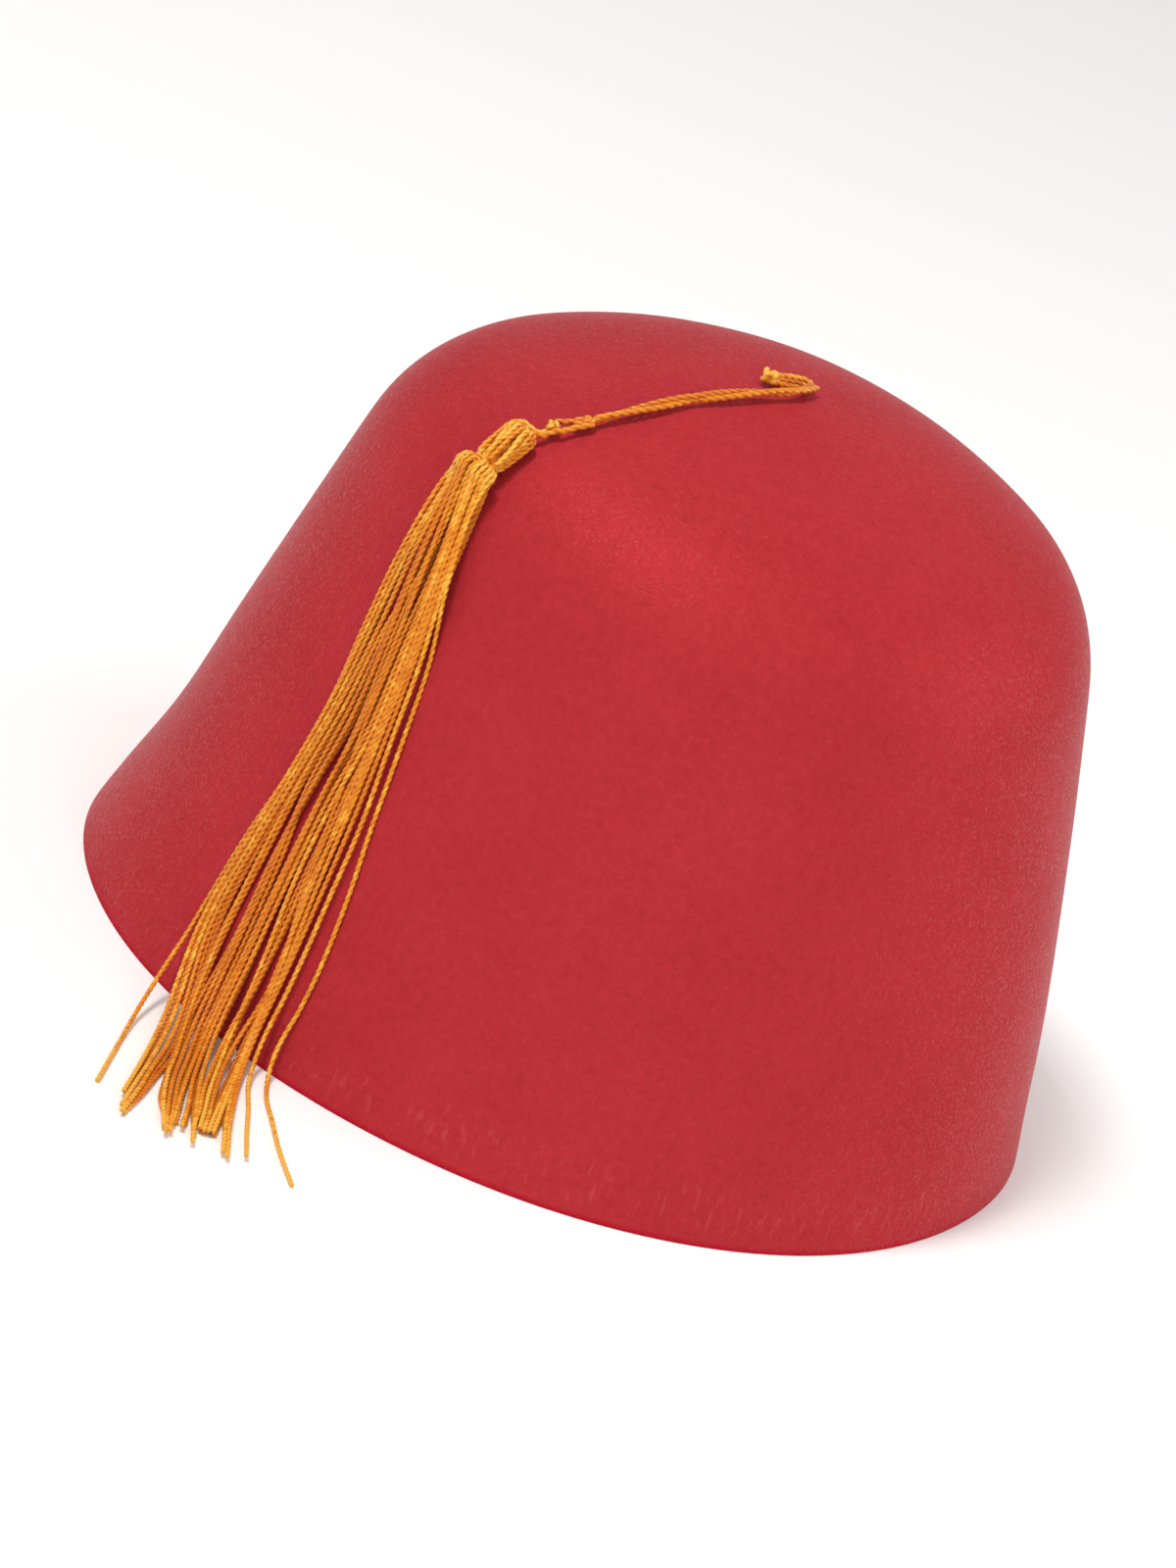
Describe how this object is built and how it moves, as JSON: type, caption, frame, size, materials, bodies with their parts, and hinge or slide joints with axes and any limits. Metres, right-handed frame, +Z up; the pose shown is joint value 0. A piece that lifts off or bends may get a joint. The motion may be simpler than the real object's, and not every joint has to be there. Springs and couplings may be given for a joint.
{
  "type": "felt fez hat with a tassel",
  "caption": "Tapered brimless felt hat with a low domed top, a short cord tacked to its middle and a long strand tassel that falls down the wall to the surface it stands on.",
  "frame": {"origin": "middle of the plane that the rim stands on, in the axis of the crown", "axes": "+Z up through the middle of the top, the front faces -Y, +X is the wearer's left"},
  "size_m": [0.1894, 0.2189, 0.1339],
  "materials": {
    "felt": "matte",
    "rayon": "satin"
  },
  "bodies": {
    "root": {"felt_crown": "felt", "cord_tail": "rayon", "tail_knot": "rayon", "tassel_cord": "rayon", "tassel_head": "rayon", "neck_binding": "rayon", "tassel_skirt": "rayon"}
  },
  "joints": []
}
